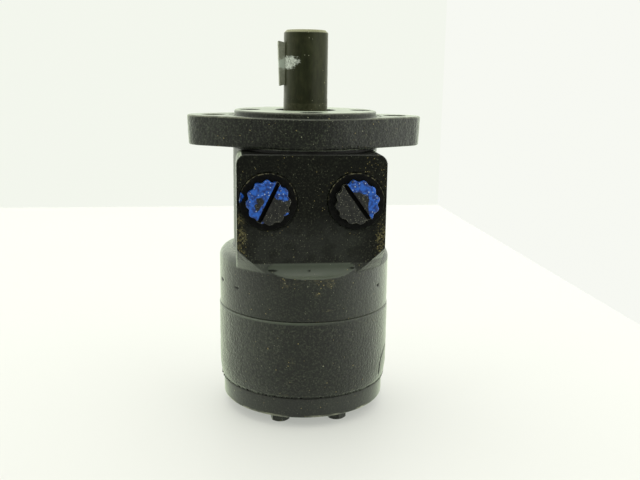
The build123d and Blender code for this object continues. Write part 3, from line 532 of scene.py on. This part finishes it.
def even_mesh(piece, voxel):
    """The piece's mesh remeshed into even small faces."""
    remesh = piece.modifiers.new("Even", "REMESH")
    remesh.mode = "VOXEL"
    remesh.voxel_size = voxel
    graph = bpy.context.evaluated_depsgraph_get()
    mesh = bpy.data.meshes.new_from_object(piece.evaluated_get(graph), depsgraph=graph)
    piece.modifiers.clear()
    return mesh


def cast_skin(name, nodes, voxel, zones, material):
    """An even mesh over CAD nodes, pitted inward and painted as zones says for each point."""
    cad = joined_mesh([frame["nodes"][node].data for node in nodes])
    piece = bpy.data.objects.new(name, cad.copy())
    bpy.context.scene.collection.objects.link(piece)
    piece.data = even_mesh(piece, voxel)
    tree = BVHTree.FromPolygons([v.co for v in cad.vertices], [p.vertices for p in cad.polygons])
    for vertex in piece.data.vertices:
        vertex.co = tree.find_nearest(vertex.co)[0]
    paint_and_pit(piece.data, tree, zones)
    piece.data.materials.clear()
    piece.data.materials.append(material)
    piece.data.shade_smooth()
    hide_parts(*nodes)
    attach(piece, "housing_assembly")


def paint_and_pit(mesh, tree, zones):
    """Writes every point's paint attributes, then moves it inward by its zone's depth."""
    values = {key: np.zeros(len(mesh.vertices), np.float32) for key in SKIN_KEYS}
    moves = []
    for index, vertex in enumerate(mesh.vertices):
        zone = zones(vertex.co, tree.find_nearest(vertex.co)[1])
        for key in SKIN_KEYS:
            values[key][index] = zone.get(key, 0.0)
        moves.append(-zone.get("depth", 0.0) * vertex.normal)
    for key in SKIN_KEYS:
        mesh.attributes.new(key, "FLOAT", "POINT").data.foreach_set("value", values[key])
    for vertex, move in zip(mesh.vertices, moves):
        vertex.co += move


def orange_peel(point):
    """Depth below the CAD surface of a painted sand casting, up to 0.22 mm."""
    return 0.12 * MM * fractal(point, 6.5 * MM, 2) + 0.10 * MM * fractal(point, 2.2 * MM, 2)


# The housing's levels in mm: foot of the neck, foot of the port block, foot of the milled port
# face, foot of the pale shoulder band and foot of the round body.
NECK_FOOT_Z = -18.6
BLOCK_FOOT_Z = -77.2
PORT_FACE_FOOT_Z = -78.4
SHOULDER_FOOT_Z = -84.0
BODY_FOOT_Z = -110.5
NECK_HIDDEN_Z = -17.0
PORT_FACE_Y = -43.2
CASE_R = 50.0

# Closer to the axis than these, and further inside the port block's rounded outline, all is bore.
NECK_INNER_R = 41.5
BODY_INNER_R = 43.0
BLOCK_INNER_R = 49.0
BLOCK_CORNER_X, BLOCK_CORNER_Y, BLOCK_MIDDLE_Y, BLOCK_CORNER_R = 34.0, 35.5, -1.5, 6.3

# The scoop is a round cut along X below the port face.
SCOOP_Y, SCOOP_Z, SCOOP_R = -51.5, -78.5, 7.5
SCOOP_X, SCOOP_FOOT_Z = 34.0, -87.0

# Small dark marks and pits: x, z, half width and half height in mm.
SCOOP_MARKS = [(-21.8, -82.2, 2.0, 0.42), (24.0, -81.3, 2.2, 0.42), (-1.5, -82.4, 0.4, 0.4)]
BODY_PITS = [(-49.1, -95.0, 0.45, 0.7), (-41.0, -95.8, 0.9, 0.4), (39.9, -95.3, 0.6, 0.6)]


def on_scoop(x, y, z, normal):
    """True on the round scoop cut below the port face."""
    near = abs(x) < SCOOP_X and SCOOP_FOOT_Z < z <= PORT_FACE_FOOT_Z and normal.z > 0.005
    return near and abs(math.hypot(y - SCOOP_Y, z - SCOOP_Z) - SCOOP_R) < 0.3


def nearest_mark(x, z, marks):
    """1 inside any of the small oval marks (x, z, half width, half height), fading outside."""
    inside = (2.2 - 1.2 * math.hypot((x - a) / w, (z - b) / h) for a, b, w, h in marks)
    return max(max(0.0, min(1.0, value)) for value in inside)


def shaded_middle(x):
    """1 on the band of painted shade up the middle of the round body and the gear case."""
    return within(x, -12.0, 16.0, 24.0)


def inside_housing(x, y, z, normal):
    """True on the bores and hidden faces of the housing."""
    radius = math.hypot(x, y)
    if z > NECK_FOOT_Z:
        return radius < NECK_INNER_R or z > NECK_HIDDEN_Z
    if z > BLOCK_FOOT_Z:
        past_x = max(abs(x) - BLOCK_CORNER_X, 0.0)
        past_y = max(abs(y - BLOCK_MIDDLE_Y) - BLOCK_CORNER_Y, 0.0)
        inside = math.hypot(past_x, past_y) < BLOCK_CORNER_R
        return inside and normal.z < 0.9 and radius < BLOCK_INNER_R
    return radius < BODY_INNER_R


def housing_zones(point, normal):
    """The housing's paint and depth at a point: neck, port block, scoop, shoulder and body."""
    x, y, z = (value / MM for value in point)
    if inside_housing(x, y, z, normal):
        return {"cast": 0.2}
    if z < BODY_FOOT_Z:
        return {"cast": 0.2, "stain_and_shade": 1.0}
    # Painted shadow under the flange: the neck and the block's top are painted near black.
    if z > NECK_FOOT_Z or normal.z > 0.9 and z > -20.0:
        return {"cast": 0.6, "stain_and_shade": 1.0}
    patch = max(0.0, 2.2 * fractal(point, 6 * MM) - 0.75)
    if y < PORT_FACE_Y and normal.y < -0.9 and z > PORT_FACE_FOOT_Z:
        return port_face_zone(x, z, patch)
    if on_scoop(x, y, z, normal):
        marks = nearest_mark(x, z, SCOOP_MARKS)
        # The scoop faces up; pale is a painted highlight on it.
        return {"cast": 0.05, "pale": 0.65, "ochre": 0.03, "stain_and_shade": marks}
    # The block's top front edge: painted shade under the flange, and a pale line either side that
    # is partly worn paint and partly painted highlight.
    if z > -19.8 and y < -42.0:
        lit = within(abs(x), 19.0, 30.0, 6.0)
        return {"cast": 0.3, "ochre": 0.1, "stain_and_shade": 0.4, "wear_and_highlight": lit}
    if z > BLOCK_FOOT_Z:
        return block_side_zone(normal, patch, orange_peel(point))
    return body_zone(x, y, z, patch, orange_peel(point))


PLUG_X, PLUG_Z = 24.0, -44.0


def port_face_zone(x, z, patch):
    """The milled port face: dull black deepened with painted shade, less black low in the middle as
    a painted reflection of the floor, with ochre dust along its rim and round the plugs.
    """
    side = within(abs(x), 37.0, 42.5, 3.0) * within(z, -76.0, -55.0, 9.0)
    corner = within(x, 33.0, 42.0, 6.0) * within(z, -36.0, -20.0, 9.0)
    plug = math.hypot(abs(x) - PLUG_X, z - PLUG_Z)
    ring = within(plug, 15.5, 18.0, 2.0) * (0.4 + 0.6 * within(x, 18.0, 42.0, 4.0))
    thick = 0.3 + 0.7 * min(1.0, patch)
    dust = thick * max(1.7 * side, 0.5 * corner, 0.5 * ring)
    # Painted reflection of the floor: less black low in the middle.
    floor_reflection = within(z, -76.0, -60.0, 8.0) * within(x, -30.0, 22.0, 12.0) * min(1.0, 0.5 + patch)
    return {"black": 1.0 - 0.4 * floor_reflection, "ochre": 0.015 + dust}


def block_side_zone(normal, patch, peel):
    """The port block's cast sides; the left one is darker, with more ochre dirt."""
    if normal.x < -0.7:
        return {"cast": 0.4, "stain_and_shade": 0.55, "ochre": 0.45 * patch, "depth": peel}
    return {"cast": 0.75, "ochre": 0.2 * patch, "depth": peel}


def body_zone(x, y, z, patch, peel):
    """The round body: a shoulder band with painted highlight on its left and painted shade on its
    right, painted shade up the middle below it, ochre dirt below the scoop, pits and a dark foot.
    """
    left, right = max(0.0, -x / CASE_R), max(0.0, x / CASE_R)
    if z > SHOULDER_FOOT_Z:
        # Painted highlight on the left of the shoulder band and painted shade on its right.
        zone = {"cast": 0.25 + 0.5 * right, "pale": 0.45 * left, "black": 0.75 * right}
        zone["ochre"] = 0.04 + 0.6 * right * patch
    else:
        peel *= 0.6
        scoop_foot = within(x, -17.0, 10.0, 6.0) * within(z, -90.5, -86.0, 2.0)
        drip = within(x, 1.0, 4.5, 1.0) * within(z, -96.0, -93.5, 0.8)
        streak = within(x, 6.0, 25.0, 3.0) * within(z, -104.6, -103.2, 0.4)
        dirt = 0.75 * scoop_foot * min(1.0, 0.3 + patch) + 0.6 * drip + 0.7 * streak * patch
        # Painted shade up the middle.
        zone = {"cast": 0.55, "ochre": 0.04 + dirt, "black": 0.35 * shaded_middle(x)}
    pit = nearest_mark(x, z, BODY_PITS) if y < 0.0 else 0.0
    foot = 0.8 * within(z, -111.0, BODY_FOOT_Z, 0.5)
    return {**zone, "stain_and_shade": max(pit, foot), "depth": peel + 0.4 * MM * pit}


PILOT_WALL_R = 41.5
PILOT_TOP_Z = 2.7
FLANGE_TOP_Z = -0.2


def flange_zones(point, normal):
    """The flange's paint and depth: a machined top and pilot dimmed with painted shade, a painted
    shadow on the pilot's side, and a rough cast edge with painted shade in its middle and a painted
    highlight along its top lip.
    """
    x, y, z = (value / MM for value in point)
    radius = math.hypot(x, y)
    above = z > FLANGE_TOP_Z and radius < PILOT_WALL_R
    # Painted shadow on the pilot's side.
    if above and z < PILOT_TOP_Z and abs(normal.z) < 0.5:
        return {"cast": 0.3, "ochre": 0.02, "black": 0.7}
    # Painted shade dims the machined tops; a worn edge round the pilot's rim.
    if above and normal.z > -0.5 or normal.z > 0.9:
        rim = within(radius, 40.6, 41.3, 0.3)
        return {"cast": 0.1, "ochre": 0.02, "black": 0.4, "wear_and_highlight": 0.15 * rim}
    if radius < 40.0:
        return {"cast": 0.1}
    if normal.z < -0.9:
        return {"cast": 0.6}
    # Painted highlight along the top front lip, and painted shade darker towards the middle of the
    # cast edge.
    lip_highlight = within(z, -0.5, 0.0, 0.3) * (0.35 + 0.25 * within(x, -70.0, -4.0, 10.0))
    return {
        "cast": 1.0,
        "ochre": 0.08 * fractal(point, 8 * MM),
        "black": 0.2 + 0.5 * within(x, -36.0, 34.0, 24.0),
        "wear_and_highlight": lip_highlight,
        "depth": 2.0 * orange_peel(point) * (1.0 - lip_highlight),
    }


RING_R = 51.0
RING_TOP_Z = -110.9
RING_TAPER_Z = -145.0
RING_BOTTOM_Z = -156.0
SEAM_TOP_Z, SEAM_BOTTOM_Z = -115.5, -119.0

# The left edge of the worn spot low on the ring: angle in degrees from +X, and z in mm.
SPOT_EDGE = [
    (-18.5, -136.3), (-25.4, -138.2), (-30.3, -141.4), (-32.3, -145.5), (-32.6, -150.5),
]
MM_PER_DEGREE = 0.89

# Ochre dust on the ring: x, z, half width and half height in mm.
RING_DUST = [
    (-11.6, -133.5, 2.0, 2.0), (-14.5, -154.0, 2.5, 0.7), (-2.5, -154.2, 1.2, 0.6),
    (25.0, -153.6, 1.6, 0.7),
]


def spot_edge(angle, z):
    """1 on the dark left edge of the worn spot low on the ring, fading over half a millimetre."""
    best = math.inf
    for (a, b), (c, d) in zip(SPOT_EDGE, SPOT_EDGE[1:]):
        du, dz = MM_PER_DEGREE * (c - a), d - b
        u, w = MM_PER_DEGREE * (angle - a), z - b
        share = max(0.0, min(1.0, (u * du + w * dz) / (du * du + dz * dz)))
        best = min(best, math.hypot(u - share * du, w - share * dz))
    return max(0.0, min(1.0, 1.7 - best / 0.5))


def ring_zones(point, normal):
    """The gear case: a painted highlight on its top chamfer, painted shade up the middle, orange
    peel, a taper and a dark seam at its foot.
    """
    x, y, z = (value / MM for value in point)
    radius = math.hypot(x, y)
    if radius < 44.0 or z > RING_TOP_Z:
        return {"cast": 0.2}
    if z < RING_BOTTOM_Z + 0.1:
        return {"cast": 0.2, "stain_and_shade": 1.0}
    left = max(0.0, -x / CASE_R)
    # Painted highlight on the top chamfer, strongest towards the left.
    lit = within(z, -112.0, -110.8, 0.25) * max(0.0, min(1.0, 0.75 - x / 28.0))
    groove = spot_edge(math.degrees(math.atan2(y, x)), z)
    taper = max(0.0, (RING_TAPER_Z - z) / (RING_TAPER_Z - RING_BOTTOM_Z))
    dust = nearest_mark(x, z, RING_DUST) if y < 0.0 else 0.0
    raised = RING_R - radius if SEAM_BOTTOM_Z < z < SEAM_TOP_Z else 0.0
    return {
        # Painted shade up the middle.
        "black": 0.3 * shaded_middle(x),
        "cast": (0.8 + 0.2 * left) * (1.0 - lit),
        "ochre": 0.04 + 0.6 * dust,
        "pale": 0.9 * lit,
        "stain_and_shade": max(groove, within(z, RING_BOTTOM_Z - 0.2, RING_BOTTOM_Z + 0.2, 0.3)),
        "depth": (0.8 + 0.5 * left) * (1.0 - lit) * orange_peel(point)
        + (0.35 * groove + 1.3 * taper**2 - 0.7 * raised) * MM,
    }


# ---------------------------------------------------------------- finishes on the frame

BODY_VOXEL = 0.8 * MM
FLANGE_VOXEL = 0.7 * MM
GROUND_LIGHT, GROUND_DARK = (0.48, 0.47, 0.44), (0.34, 0.33, 0.31)
OILED_LIGHT, OILED_DARK = (0.085, 0.08, 0.07), (0.045, 0.043, 0.038)
KEY_LIGHT, KEY_DARK = (0.35, 0.37, 0.29), (0.15, 0.16, 0.12)


def add_skins():
    """Swaps the cast nodes for their pitted skins; the ring and the plate share one."""
    cast_paint = paint("cast_paint", skin=True, seed=1.0)
    cast_skin("housing_casting", ["housing"], BODY_VOXEL, housing_zones, cast_paint)
    cast_skin("flange_casting", ["mounting_flange"], FLANGE_VOXEL, flange_zones, cast_paint)
    gear_case = ["geroler_ring", "spacer_plate"]
    cast_skin("gear_case_casting", gear_case, BODY_VOXEL, ring_zones, cast_paint)


def finish_nodes():
    """Gives every CAD node its finish."""
    low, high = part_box("end_cap")
    rims = (low.z, high.z)
    finishes = {
        "end_cap": paint("end_cap_paint", cast=0.22, ochre=0.05, seed=5.0, rims=rims),
        "end_cap_screws": paint("screw_paint", cast=0.3, ochre=0.12, seed=8.0),
        "flange_cap_screws": bare_steel(
            "oiled_screw_steel", OILED_LIGHT, OILED_DARK, rough=0.4, seed=4.0
        ),
        "output_shaft": shaft_steel("oiled_shaft_steel"),
        "woodruff_key": bare_steel(
            "worn_key_steel", KEY_LIGHT, KEY_DARK, rough=0.42, seed=6.0, rust=0.1, smeared=True
        ),
        "port_plug_left": plug_plastic("left_plug_plastic", "port_plug_left"),
        "port_plug_right": plug_plastic("right_plug_plastic", "port_plug_right"),
    }
    nitrile = rubber("nitrile")
    ground = bare_steel(
        "ground_steel", GROUND_LIGHT, GROUND_DARK, rough=0.28, seed=1.0, rust=0.1
    )
    for name, node in frame["nodes"].items():
        plain = nitrile if node.data.materials[0].name == "seal_rubber" else ground
        node.data.materials.clear()
        node.data.materials.append(finishes.get(name, plain))


# ---------------------------------------------------------------- studio

FLOOR_Z = cad_box[0].z
FLOOR_REACH = 3.0
FLOOR_DARK, FLOOR_PALE = (0.295, 0.29, 0.28), (0.315, 0.31, 0.30)
FLOOR_GLOW = (0.97, 1.0, 0.93)
BACK_WALL_Y = 0.69
RIGHT_WALL_X = 0.278
RIGHT_WALL_FRONT_Y = -0.5
WALL_SLANT = 0.02
WALL_HEIGHT = 1.6
WALL_TONE = (0.895, 0.922, 0.845)
RIGHT_WALL_TONE = (0.925, 0.94, 0.885)
UNSEEN_WALL_GLOW = 2.0

LAMP_COLOR = (0.97, 1.0, 0.90)
SOFT_LIGHT_COLOR = (1.0, 1.0, 0.97)
FRONT_LEVEL = 0.06
SIDE_LEVEL = 1.8
TOP_LEVEL = 1.1

CAMERA_PLACE = (-45.3 * MM, -459.6 * MM, 24.3 * MM)
CAMERA_YAW, CAMERA_PITCH, CAMERA_ROLL = 6.82, 12.09, 0.80
CAMERA_LENS, CAMERA_SENSOR = 43.97, 36.0


def flat_sheet(name, corners, material):
    """A four-cornered sheet that belongs to the studio, not to the motor."""
    mesh = bpy.data.meshes.new(name)
    mesh.from_pydata(corners, [], [(0, 1, 2, 3)])
    sheet = bpy.data.objects.new(name, mesh)
    bpy.context.scene.collection.objects.link(sheet)
    mesh.materials.append(material)


def floor_finish():
    """A pale floor that glows a little, which lightens the shadow under the motor."""
    f = Finish("white_floor", (0.9, 0.9, 0.9))
    color = f.mix(f.noise(0.35, 3.0, 2.0), FLOOR_DARK, FLOOR_PALE)
    normal = f.bump(f.noise(1.2 * MM, 2.0), 0.01 * MM)
    glow = {"Emission_Color": FLOOR_GLOW, "Emission_Strength": 0.38}
    return f.close(color, 0.6, normal, specular=0.3, **glow)


def wall_finish(name, tone):
    """A lit white board, seen from its front only, so that the camera may look in from behind."""
    f = Finish(name, (0.9, 0.9, 0.88))
    paler = tuple(1.01 * value for value in tone)
    color = f.mix(f.noise(0.5, 2.0), tone, paler)
    seen = f.add("ShaderNodeLightPath").outputs["Is Camera Ray"]
    glow = f.blend(seen, UNSEEN_WALL_GLOW, 1.0)
    light = f.add("ShaderNodeEmission", Color=color, Strength=glow)
    clear = f.add("ShaderNodeBsdfTransparent")
    behind = f.add("ShaderNodeNewGeometry").outputs["Backfacing"]
    either = f.add("ShaderNodeMixShader", Fac=behind)
    f.tree.links.new(light.outputs[0], either.inputs[1])
    f.tree.links.new(clear.outputs[0], either.inputs[2])
    output = f.add("ShaderNodeOutputMaterial")
    f.tree.links.new(either.outputs[0], output.inputs[0])
    return f.material


def build_room():
    """A wide floor, a back wall and a right wall that meet at a slightly slanted corner."""
    wide, low, top = FLOOR_REACH, FLOOR_Z, FLOOR_Z + WALL_HEIGHT
    floor = [(-wide, -wide, low), (wide, -wide, low), (wide, wide, low), (-wide, wide, low)]
    flat_sheet("studio_floor", floor, floor_finish())
    corner = (RIGHT_WALL_X, BACK_WALL_Y + WALL_SLANT)
    left_end = (-wide, BACK_WALL_Y)
    right_end = (RIGHT_WALL_X + WALL_SLANT, RIGHT_WALL_FRONT_Y)
    back = [(*left_end, low), (*corner, low), (*corner, top), (*left_end, top)]
    side = [(*corner, low), (*right_end, low), (*right_end, top), (*corner, top)]
    flat_sheet("studio_back_wall", back, wall_finish("white_board", WALL_TONE))
    flat_sheet("studio_right_wall", side, wall_finish("right_white_board", RIGHT_WALL_TONE))


def light_world():
    """Soft light from above, behind and both sides; the side the camera stands on is dimmer."""
    world = bpy.data.worlds.new("studio_world")
    bpy.context.scene.world = world
    world.use_nodes = True
    nodes, links = world.node_tree.nodes, world.node_tree.links
    nodes.clear()
    split = nodes.new("ShaderNodeSeparateXYZ")
    links.new(nodes.new("ShaderNodeTexCoord").outputs["Generated"], split.inputs[0])

    def level(axis, start, end, before, after):
        """A light level that changes smoothly as the direction turns along an axis."""
        ramp = nodes.new("ShaderNodeMapRange")
        ramp.interpolation_type = "SMOOTHSTEP"
        links.new(split.outputs[axis], ramp.inputs["Value"])
        limits = {"From Min": start, "From Max": end, "To Min": before, "To Max": after}
        for name, value in limits.items():
            ramp.inputs[name].default_value = value
        return ramp.outputs[0]

    total = nodes.new("ShaderNodeMath")
    total.operation = "MAXIMUM"
    links.new(level("Y", -0.75, 0.1, FRONT_LEVEL, SIDE_LEVEL), total.inputs[0])
    links.new(level("Z", 0.1, 0.8, 0.0, TOP_LEVEL), total.inputs[1])
    lamp = nodes.new("ShaderNodeBackground")
    lamp.inputs[0].default_value = (*LAMP_COLOR, 1.0)
    links.new(total.outputs[0], lamp.inputs[1])
    seen = nodes.new("ShaderNodeBackground")
    seen.inputs[0].default_value = (*WALL_TONE, 1.0)
    either = nodes.new("ShaderNodeMixShader")
    links.new(nodes.new("ShaderNodeLightPath").outputs["Is Camera Ray"], either.inputs[0])
    links.new(lamp.outputs[0], either.inputs[1])
    links.new(seen.outputs[0], either.inputs[2])
    output = nodes.new("ShaderNodeOutputWorld")
    links.new(either.outputs[0], output.inputs[0])


def soft_light(name, place, target, size, power):
    """A square soft light at a place, facing a target."""
    data = bpy.data.lights.new(name, "AREA")
    data.size = size
    data.energy = power
    data.color = SOFT_LIGHT_COLOR
    lamp = bpy.data.objects.new(name, data)
    bpy.context.scene.collection.objects.link(lamp)
    lamp.location = place
    lamp.rotation_euler = (Vector(target) - Vector(place)).to_track_quat("-Z", "Y").to_euler()


def place_camera():
    """The camera in front of the motor, turned right by its yaw, down by its pitch and rolled."""
    yaw, pitch, roll = map(math.radians, (CAMERA_YAW, CAMERA_PITCH, CAMERA_ROLL))
    level_ahead = Vector((math.sin(yaw), math.cos(yaw), 0.0))
    ahead = level_ahead * math.cos(pitch) - Vector((0.0, 0.0, math.sin(pitch)))
    level = Vector((math.cos(yaw), -math.sin(yaw), 0.0))
    upright = level.cross(ahead)
    right = level * math.cos(roll) + upright * math.sin(roll)
    up = upright * math.cos(roll) - level * math.sin(roll)
    data = bpy.data.cameras.new("photo_camera")
    data.sensor_width = CAMERA_SENSOR
    data.lens = CAMERA_LENS
    data.clip_start = 0.01
    data.clip_end = 20.0
    camera = bpy.data.objects.new("photo_camera", data)
    bpy.context.scene.collection.objects.link(camera)
    turn = Matrix((right, up, -ahead)).transposed().to_4x4()
    camera.matrix_world = Matrix.Translation(Vector(CAMERA_PLACE)) @ turn
    bpy.context.scene.camera = camera


add_skins()
finish_nodes()
build_room()
light_world()
soft_light("overhead_softbox", (0.0, 0.35, 1.1), target=(0.0, 0.0, -0.1), size=1.2, power=9.0)
soft_light("left_window", (-0.9, -0.5, 0.6), target=(0.0, 0.0, -0.08), size=0.2, power=1.3)
place_camera()
bpy.context.scene.view_settings.view_transform = "Standard"
